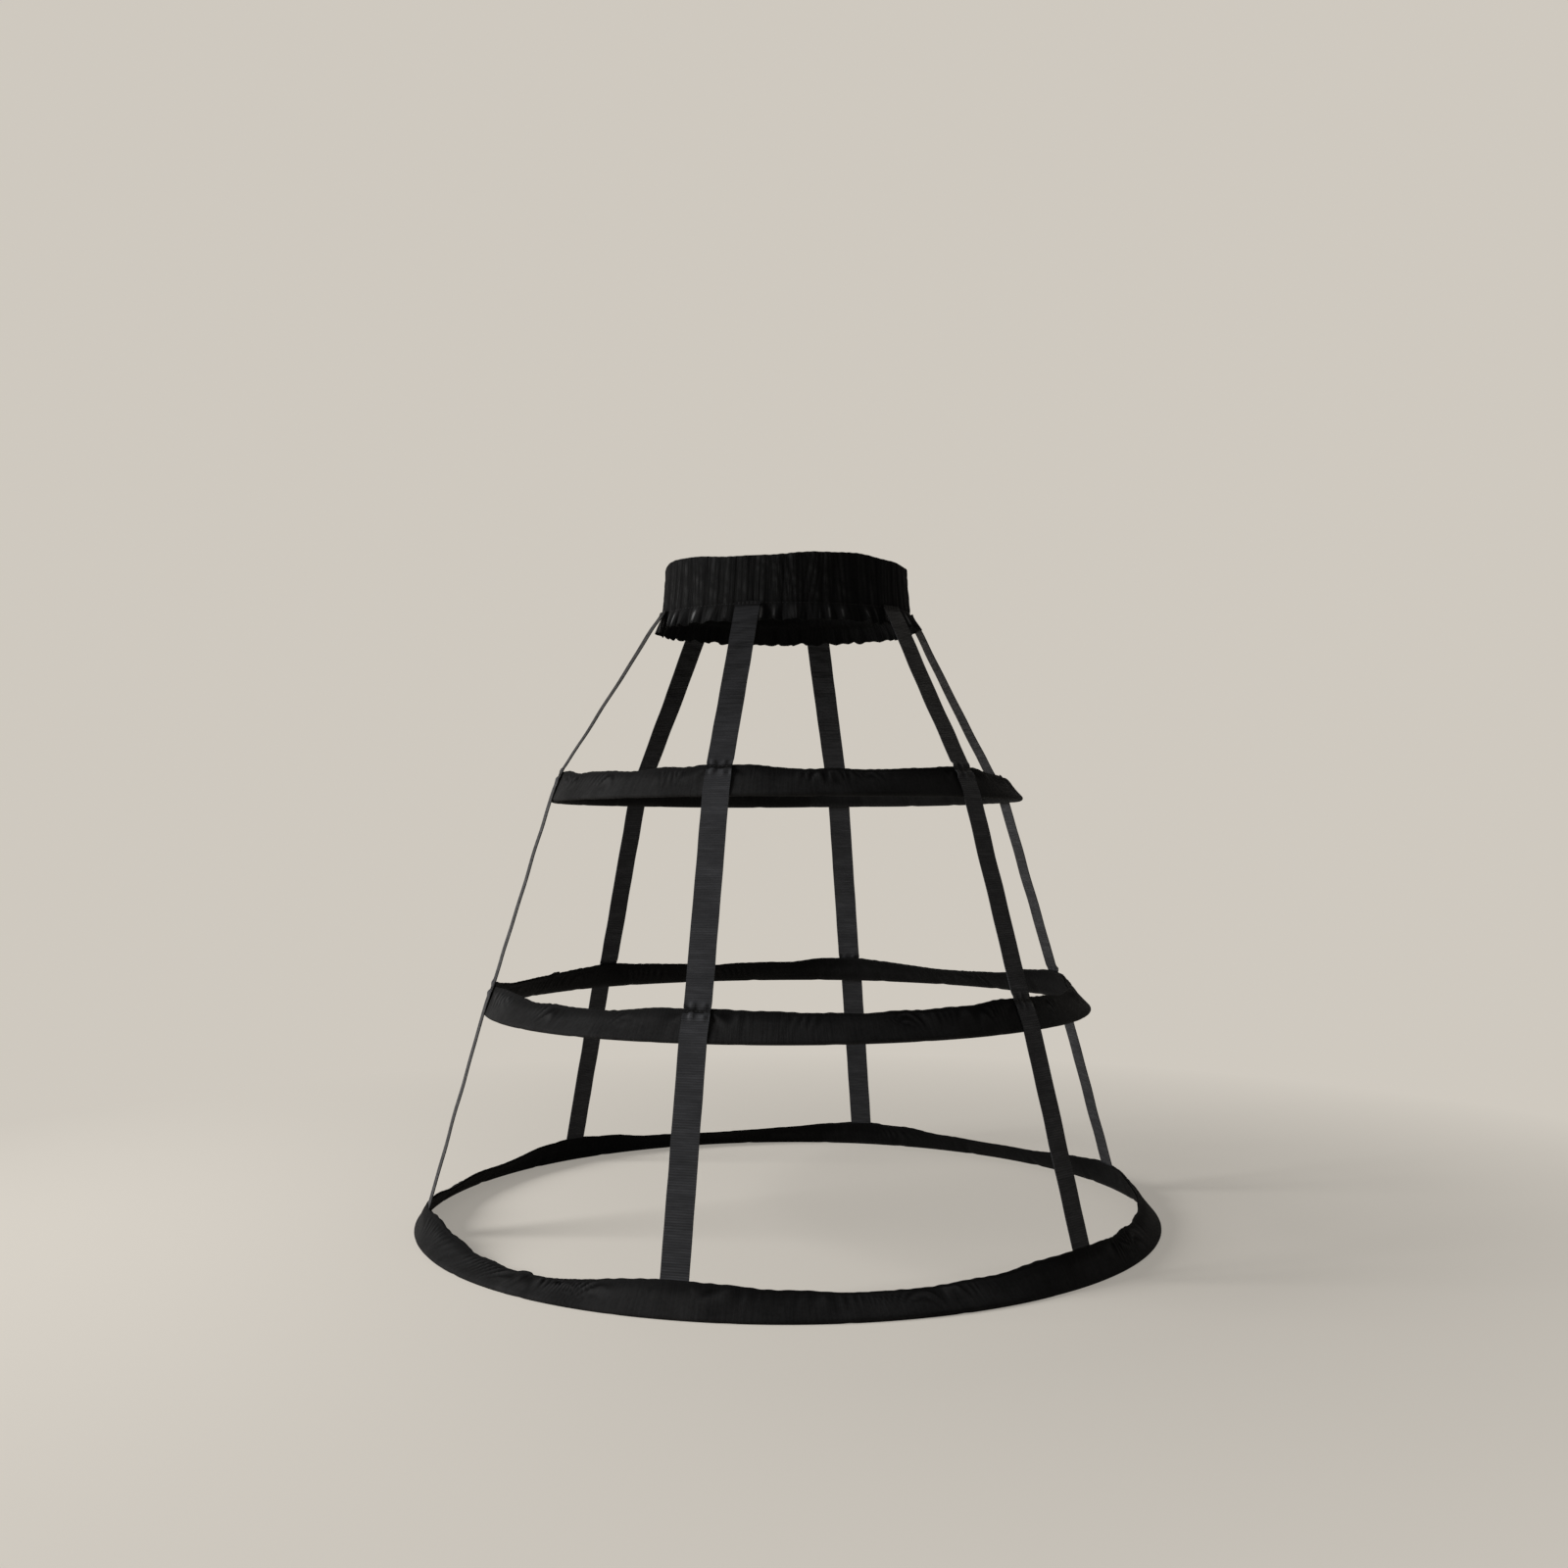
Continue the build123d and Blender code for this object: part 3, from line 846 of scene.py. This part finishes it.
def tape_strip(number):
    """A tape's middle surface, pinched and puffed at its stitches, and its painted light and shade"""
    tapes = settings("tapes")
    marks, middle, across, face, calm, crossings = tape_line(number)
    rng = np.random.default_rng(40 + number)
    full_turns = marks * 2 * math.pi
    sway = sum(np.sin(full_turns / wave + rng.uniform(0, 6)) for wave in (0.071, 0.043)) / 2
    curl = sum(np.sin(full_turns / wave + rng.uniform(0, 6)) for wave in (0.11, 0.063)) / 2
    levels = np.linspace(-1, 1, 13)
    half = np.full_like(marks, tapes.width / 2) + 0.04 * MM * np.sin(full_turns / 0.031)
    puff = np.zeros((len(marks), len(levels)))
    painted_shading = np.full_like(puff, 0.5)
    for stitch in crossings:
        off = (marks - stitch)[:, None] + 0.5 * MM * np.sin(5 * levels + rng.uniform(0, 6))[None, :]
        crease = np.sin(7.5 * levels + rng.uniform(0, 6)) + 0.6 * np.sin(13 * levels + rng.uniform(0, 6))
        above = np.exp(-((off + 3.6 * MM) / (2.1 * MM)) ** 2)
        below = np.exp(-((off - 4.4 * MM) / (2.6 * MM)) ** 2)
        near = np.exp(-(off / (1.4 * MM)) ** 2)
        fan = levels * (5.2 + 1.1 * np.clip(off / (5 * MM), -1, 1)) + rng.uniform(0, 3)
        ray = (1 - np.abs(np.sin(fan))) ** 2 * np.exp(-(off / (4.6 * MM)) ** 2)
        puff += MM * (0.80 * above * (1 + 0.55 * crease) + 1.15 * below * (1 + 0.50 * crease)
                      - 0.7 * ray)
        # Painted highlights on the puffs beside a stitch line and painted shade in its pinch and creases
        painted_shading += crease * (0.20 * above + 0.24 * below) + 0.10 * below - 0.80 * near - 0.55 * ray
        half -= 0.55 * MM * np.exp(-((marks - stitch) / (2.4 * MM)) ** 2)
    bulge = ease(marks, 0, 20 * MM) * (1 - ease(marks, 20 * MM, 70 * MM))
    puff = np.maximum(puff, 0) + 0.9 * MM * bulge[:, None]
    # The ribbon is darker over its top few millimetres, and painted shade runs down its upper stretch to
    # the top hoop
    lapped = 1 - ease(marks, 2.5 * MM, 6.5 * MM)
    shaded = 1 - ease(marks, 60 * MM, 215 * MM)
    painted_shading -= (0.62 * lapped + 0.30 * shaded)[:, None]
    corner = np.clip(marks / (1.5 * MM), 0, 1)
    half -= 1.5 * MM * (1 - np.sqrt(1 - (1 - corner) ** 2))
    bow = 0.22 * MM * (curl * calm)[:, None] * (1 - levels ** 2)[None, :]
    shift = 0.30 * MM * (sway * calm)[:, None] + bow - puff
    sideways = across[:, None] * (half[:, None] * levels)[..., None]
    grid = middle[:, None] + sideways + face[:, None] * shift[..., None]
    return grid, painted_shading, marks, crossings


# Hoop casings

# The outer face, in millimetres down from the top edge: how loose the cloth is there, how much it
# follows the uneven edge, and how far it swells between tapes
OUTER_ROWS = (
    (1.7, 0.22, 0.95, 0.16), (2.4, 0.20, 0.9, 0.08), (3.0, 0.16, 0.85, -0.04), (3.7, 0.42, 0.8, 0.12),
    (4.8, 0.85, 0.7, 0.34), (6.2, 1.0, 0.55, 0.48), (8.0, 0.95, 0.4, 0.55), (10.2, 0.72, 0.25, 0.50),
    (12.6, 0.46, 0.12, 0.36), (15.2, 0.26, 0.05, 0.22), (17.8, 0.14, 0.0, 0.14), (20.4, 0.08, 0.0, 0.08))
OUTER_SEAM = 2
# The inner face, in millimetres up from the middle of the fold, with the same two shares
INNER_ROWS = (
    (4.5, 0.05, 0.0), (8.9, 0.15, 0.0), (11.5, 0.45, 0.1), (14.0, 0.8, 0.25), (16.5, 0.8, 0.5),
    (18.4, 0.5, 0.7), (19.6, 0.2, 0.8), (20.4, 0.12, 0.85), (21.3, 0.15, 0.95), (22.2, 0.1, 1.0))
INNER_SEAM = 7
# Round each ring, from the bottom casing's cloth join to the top, middle and bottom one's
JOIN_TURNS = (2.2, -1.3, 0.0)


def casing_grid(hoop, stations):
    """The casing's cloth: hem, outer face, fold round the bone, inner face, hem.

    Returns its points, their painted light and shade, and the rows of its seam outside and inside.
    """
    hoops, tapes = settings("hoops"), settings("tapes")
    number = HOOPS.index(hoop)
    azimuth = ring(stations)
    centre, out, rise = hoop_axes(hoop, azimuth)
    radius = hoops.radius[number]
    seed = 100 * (number + 1)
    top = hoops.casing_width - hoops.edge_radius
    half_cloth = hoops.cloth / 2
    face = hoops.edge_radius - half_cloth
    back = hoops.edge_radius - hoops.seam + half_cloth

    off_tape = off_nearest_tape(azimuth) * radius
    past_tape = np.abs(off_tape) - tapes.width / 2
    flat = 1 - ease(past_tape, 1.5 * MM, 17 * MM)
    caught = flat if hoop == "bottom" else np.zeros_like(flat)
    off_join = between_angles(azimuth, hoops.cloth_join + JOIN_TURNS[number]) * radius
    join = ease(off_join, -9 * MM, -5.5 * MM) * (1 - ease(off_join, 2 * MM, 9 * MM)) * (1 - flat)
    lap = ease(off_join, -4.6 * MM, -3.8 * MM) * (1 - ease(off_join, 3.6 * MM, 5.2 * MM)) * (1 - flat)

    # The inner face makes room for the bone, which is straight from one station to the next
    half_stretch = math.radians(7.5)
    off_stretch = (off_nearest_tape(azimuth) + half_stretch) % (2 * half_stretch) - half_stretch
    sag = (radius - hoops.edge_radius) * (1 - math.cos(half_stretch) / np.cos(off_stretch))
    sag = np.clip(sag, 0, 0.8 * MM)

    near_join = 0.9 * np.exp(-(off_join / (120 * MM)) ** 2)
    patch = np.clip(0.30 + 0.85 * wander(azimuth, seed + 1, 5, 22) + near_join, 0.0, 1.15)
    lumps = wander(azimuth, seed + 2, 14, 42)
    nicks = wander(azimuth, seed + 3, 90, 210)
    waves = wander(azimuth, seed + 4, 9, 22)
    pucker_lean = 1.5 * wander(azimuth, seed + 5, 9, 34)
    pitch = 8.5 * MM
    pucker_count = round(2 * math.pi * radius / pitch)

    def puckers(level):
        """Slanting puckers, deeper in some patches than in others"""
        depth = (top - level) / pitch
        turned = pucker_count * azimuth / (2 * math.pi)
        phase = 2 * math.pi * (turned + 0.45 * depth * (0.8 + pucker_lean) + pucker_lean)
        return np.sin(phase) * patch + 0.45 * np.sin(2 * phase + 2 * pucker_lean) * patch ** 2

    def drag(level):
        """Creases that fan out from where a tape is sewn on"""
        below_seam = top - hoops.seam_in - level
        below = top - level if hoop == "bottom" else below_seam
        strength = 0.40 * MM if hoop == "bottom" else 0.75 * MM
        near = np.exp(-np.hypot(past_tape, below) / (10 * MM)) * ease(past_tape, 0.3 * MM, 4 * MM)
        turn = np.arctan2(below_seam, past_tape + 0.1 * MM)
        return strength * near * np.sin(5.2 * turn + 2 * waves)

    edge_lift = MM * (0.75 * lumps * (1 - 0.6 * flat) + 0.22 * nicks * (1 - 0.5 * flat) + 2.3 * join)
    edge_tilt = 0.5 * MM * waves * (1 - flat)
    rows, crests = [], []

    def add(x, y, loose, edge, swell=0.0, sign=1):
        """One row: its place in the section, how loose it is, how it follows the edge, and its swell"""
        fold = loose * (0.72 * MM * puckers(y) * (1 - flat) + drag(y))
        shift = sign * (fold + swell * (1 - flat) + 0.5 * MM * lap * max(loose, 0.3))
        x_all = x + shift + edge * edge_tilt
        rows.append(centre + out * x_all[:, None] + rise * (y + edge * edge_lift)[:, None])
        # Painted light and shade: paler on pucker crests and the join's lap, darker in hollows, on the
        # inner face and in a painted shadow along the upper part
        shadow = 0.24 * ease(y, 0.5 * top, 0.9 * top)
        crests.append((0.46 if sign > 0 else 0.12) + 0.46 * fold / MM - shadow + 0.12 * lap)

    hem = 5.5 * MM
    gap = 0.33 * MM * caught
    tuck_out, tuck_in = face - 0.57 * MM + gap, back + 0.55 * MM - gap
    add(tuck_out, top - hem, 0.0, 0.6)
    add(tuck_out, top - 3 * MM, 0.1, 0.8)
    add(tuck_out, top - 0.9 * MM, 0.1, 1.0)
    add((tuck_out + face + gap) / 2, top - half_cloth, 0.1, 1.0)
    add(face + gap, top - 0.8 * MM, 0.15, 1.0, 0.10 * MM)
    outer_seam = len(rows) + OUTER_SEAM
    for down, loose, edge, swell in OUTER_ROWS:
        y = top - down * MM
        add(face + gap * ease(y, 8 * MM, 14 * MM), y, loose, edge, swell * MM)
    for turn in np.radians(range(0, 181, 30)):
        inward = max(0.0, -math.cos(turn))
        add(face * math.cos(turn) - sag * inward, -face * math.sin(turn), 0.04, 0.0)
    inner_seam = len(rows) + INNER_SEAM
    for up, loose, edge in INNER_ROWS:
        taper = max(0.0, (up * MM - hoops.bone_room) / (top - 0.8 * MM - hoops.bone_room))
        below = max(0.0, 1 - taper * 2.5)
        x = -face + (back + face) * taper - sag * below - gap * ease(up, 12, 17)
        add(x, up * MM, loose, edge, 0.15 * MM * loose, sign=-1)
    add((tuck_in + back - gap) / 2, top - half_cloth, 0.1, 1.0)
    add(tuck_in, top - 0.9 * MM, 0.1, 1.0)
    add(tuck_in, top - 3 * MM, 0.1, 0.8)
    add(tuck_in, top - hem, 0.0, 0.6)
    return np.stack(rows, axis=1), np.stack(crests, axis=1), outer_seam, inner_seam


# Operators

class CRINOLINE_OT_waistband(bpy.types.Operator):
    """Make the gathered waistband cover and the stitches along its ruffle"""

    bl_idname = "crinoline.waistband"
    bl_label = "Waistband"

    def execute(self, context):
        waist, tapes = settings("waist"), settings("tapes")
        grid, painted_shading, seam = waistband_grid(stations=1008)
        cover, front, back, normal = cloth_piece("waistband_cloth", grid, painted_shading, waist.cloth, True)
        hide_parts("waistband_cover")
        cotton = cotton_finish("gathered black cotton", waist.colour, 0.00055, streaks=1.0, peak_highlight=13.0)
        settle(cover, cotton)
        tape_at = [waist_point(np.array(sewn), waist.spread, 0.0) for sewn in tapes.sewn_at]

        def under_tape(point):
            return any(np.linalg.norm(point[:2] - place[:2]) < tapes.width / 2 for place in tape_at)

        # Painted shade: the stitches are darkened as if sunk in the shade of the gathers
        thread = thread_finish("waist thread", shade(settings("thread").colour, 0.4))
        seam_row = (front[:, seam], normal[:, seam], True, under_tape)
        settle(sewn_piece("waistband_stitches", [seam_row]), thread)
        return {"FINISHED"}


class CRINOLINE_OT_casings(bpy.types.Operator):
    """Make the three hoop casings, folded cloth round the bones, with the stitches of their seams"""

    bl_idname = "crinoline.casings"
    bl_label = "Hoop casings"

    def execute(self, context):
        hoops, tapes = settings("hoops"), settings("tapes")
        cotton = cotton_finish("casing black cotton", hoops.colour, 0.0006, streaks=0.3, peak_highlight=3.2)
        thread = thread_finish("casing thread", settings("thread").colour)
        for hoop, stations in zip(HOOPS, (744, 936, 1128)):
            grid, painted_shading, outer_seam, inner_seam = casing_grid(hoop, stations)
            casing, front, back, normal = cloth_piece(
                hoop + "_casing_cloth", grid, painted_shading, hoops.cloth, True)
            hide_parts(hoop + "_hoop_casing")
            settle(casing, cotton)
            radius = hoops.radius[HOOPS.index(hoop)]

            def under_tape(point):
                if hoop == "bottom":
                    return False
                at = math.atan2(point[0], -point[1])
                return abs(off_nearest_tape(np.array(at))) * radius < tapes.width / 2 + 0.3 * MM

            stitches = sewn_piece(hoop + "_seam_stitches", [
                (front[:, outer_seam], normal[:, outer_seam], True, under_tape),
                (front[:, inner_seam], normal[:, inner_seam], True, None)])
            settle(stitches, thread)
        return {"FINISHED"}


class CRINOLINE_OT_tapes(bpy.types.Operator):
    """Make the six ribbon tapes and the stitches that hold them to the waistband and the hoops"""

    bl_idname = "crinoline.tapes"
    bl_label = "Ribbon tapes"

    def execute(self, context):
        tapes = settings("tapes")
        ribbon = ribbon_finish("black ribbed ribbon", tapes.colour, tapes.rib)
        thread = thread_finish("tape thread", shade(settings("thread").colour, 0.5))
        for number, name in enumerate(TAPES):
            grid, painted_shading, marks, crossings = tape_strip(number)
            tape, front, back, normal = cloth_piece(
                name + "_ribbon", grid, painted_shading, tapes.thickness, False)
            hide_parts(name + "_tape")
            settle(tape, ribbon)
            away = np.mean((front - back) * outward(np.array(tape_azimuths()[number])))
            outside, out = (front, normal) if away > 0 else (back, -normal)
            rows = []
            for place in (0.7 * MM, 1.6 * MM, 2.6 * MM, *crossings):
                line = round(place / marks[1])
                rows.append((outside[line, 1:-1], out[line, 1:-1], False, None))
            stitches = sewn_piece(name + "_ribbon_stitches", rows)
            settle(stitches, thread)
        return {"FINISHED"}


class CRINOLINE_OT_inner_parts(bpy.types.Operator):
    """Give the elastic, the bones and their joiners their finishes"""

    bl_idname = "crinoline.inner_parts"
    bl_label = "Elastic and bones"

    def execute(self, context):
        finishes = {"waist_elastic": elastic_finish("woven elastic")}
        bone, joiner = bone_finish("spring plastic"), joiner_finish("rolled steel")
        for hoop in HOOPS:
            finishes[hoop + "_hoop_bone"] = bone
            finishes[hoop + "_bone_joiner"] = joiner
        for name, material in finishes.items():
            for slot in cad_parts[name].material_slots:
                slot.material = material
        return {"FINISHED"}


class CRINOLINE_OT_stage(bpy.types.Operator):
    """Make the floor, the soft lamps, the background and the camera"""

    bl_idname = "crinoline.stage"
    bl_label = "Stage"

    def execute(self, context):
        stage, scene = settings("stage"), context.scene
        under_hem = -max(settings("hoops").drop) - 0.2 * MM
        bpy.ops.object.select_all(action="DESELECT")
        bpy.ops.mesh.primitive_circle_add(
            vertices=96, radius=stage.floor, fill_type="NGON", location=(0, 0, under_hem))
        floor = context.object
        floor.name = "floor"
        floor.data.materials.append(floor_finish(stage.backdrop))
        scene.world = pale_world(stage.backdrop, stage.room)
        soft_lamp("key", (-2.25, -0.48, 0.55), 1.3, stage.key)
        soft_lamp("fill", (1.8, -1.3, 0.5), 1.6, stage.fill)
        data = bpy.data.cameras.new("camera")
        data.lens = stage.lens
        data.sensor_width = 36
        data.clip_start, data.clip_end = 0.01, 50
        camera = bpy.data.objects.new("camera", data)
        camera.location = stage.eye
        camera.rotation_euler = (math.pi / 2 + stage.tilt, stage.roll, 0)
        scene.collection.objects.link(camera)
        scene.camera = camera
        scene.view_settings.view_transform = "Standard"
        return {"FINISHED"}


def pale_world(backdrop, room):
    """A world that looks like the backdrop and lights the cage evenly and more softly"""
    world = bpy.data.worlds.new("pale studio")
    world.use_nodes = True
    tree = world.node_tree
    for node in list(tree.nodes):
        tree.nodes.remove(node)
    path = tree.nodes.new("ShaderNodeLightPath")
    seen = tree.nodes.new("ShaderNodeBackground")
    seen.inputs["Color"].default_value = (*backdrop, 1)
    light = tree.nodes.new("ShaderNodeBackground")
    light.inputs["Color"].default_value = (*room, 1)
    mix = tree.nodes.new("ShaderNodeMixShader")
    out = tree.nodes.new("ShaderNodeOutputWorld")
    tree.links.new(straight_rays(tree, path), mix.inputs["Fac"])
    tree.links.new(light.outputs["Background"], mix.inputs[1])
    tree.links.new(seen.outputs["Background"], mix.inputs[2])
    tree.links.new(mix.outputs["Shader"], out.inputs["Surface"])
    return world


def straight_rays(tree, path):
    """Camera, glossy and transmission rays, which see the backdrop's own colour"""
    total = path.outputs["Is Camera Ray"]
    for name in ("Is Glossy Ray", "Is Transmission Ray"):
        most = tree.nodes.new("ShaderNodeMath")
        most.operation = "MAXIMUM"
        tree.links.new(total, most.inputs[0])
        tree.links.new(path.outputs[name], most.inputs[1])
        total = most.outputs["Value"]
    return total


def floor_finish(colour):
    """A pale matt floor that turns into the background a little way off"""
    floor = Finish("pale floor", 0.95, specular=0.1)
    floor.shader.inputs["Base Color"].default_value = (*shade(colour, 1.35), 1)
    length = floor.node("VectorMath", operation="LENGTH")
    floor.link(floor.object_place(), length.inputs[0])
    away = floor.span(length.outputs["Value"], 0.40, 0.95, 0.45, 1.0)
    path = floor.node("LightPath")
    share = floor.math("MULTIPLY", away, straight_rays(floor.tree, path))
    glow = floor.node("Emission")
    glow.inputs["Color"].default_value = (*colour, 1)
    mix = floor.node("MixShader")
    floor.link(share, mix.inputs["Fac"])
    floor.link(floor.shader.outputs["BSDF"], mix.inputs[1])
    floor.link(glow.outputs["Emission"], mix.inputs[2])
    floor.link(mix.outputs["Shader"], floor.tree.nodes["Material Output"].inputs["Surface"])
    return floor.material


def soft_lamp(name, place, size, power):
    data = bpy.data.lights.new(name, "AREA")
    data.shape = "DISK"
    data.size = size
    data.energy = power
    lamp = bpy.data.objects.new(name, data)
    lamp.location = place
    aim = Vector((0, 0, -0.28)) - Vector(place)
    lamp.rotation_euler = aim.to_track_quat("-Z", "Y").to_euler()
    bpy.context.scene.collection.objects.link(lamp)


class CRINOLINE_PT_panel(bpy.types.Panel):
    """Lists the cage's sizes and the buttons that make its pieces"""

    bl_label = "Crinoline cage"
    bl_idname = "CRINOLINE_PT_panel"
    bl_space_type = "VIEW_3D"
    bl_region_type = "UI"
    bl_category = "Crinoline"

    def draw(self, context):
        for name, group in SETTINGS.items():
            box = self.layout.box()
            box.label(text=name.capitalize())
            for field in group.__annotations__:
                box.prop(getattr(context.scene, "crinoline_" + name), field)
        for operator in OPERATORS:
            self.layout.operator(operator.bl_idname)


SETTINGS = {
    "waist": WaistSettings,
    "hoops": HoopSettings,
    "tapes": TapeSettings,
    "thread": ThreadSettings,
    "stage": StageSettings,
}
OPERATORS = (
    CRINOLINE_OT_stage,
    CRINOLINE_OT_waistband,
    CRINOLINE_OT_casings,
    CRINOLINE_OT_tapes,
    CRINOLINE_OT_inner_parts,
)


def register():
    for made in (*SETTINGS.values(), *OPERATORS, CRINOLINE_PT_panel):
        bpy.utils.register_class(made)
    for name, group in SETTINGS.items():
        setattr(bpy.types.Scene, "crinoline_" + name, PointerProperty(type=group))


def unregister():
    for name in SETTINGS:
        delattr(bpy.types.Scene, "crinoline_" + name)
    for made in reversed((*SETTINGS.values(), *OPERATORS, CRINOLINE_PT_panel)):
        bpy.utils.unregister_class(made)


def main():
    register()
    bpy.ops.crinoline.stage()
    bpy.ops.crinoline.waistband()
    bpy.ops.crinoline.casings()
    bpy.ops.crinoline.tapes()
    bpy.ops.crinoline.inner_parts()


if __name__ == "__main__":
    main()
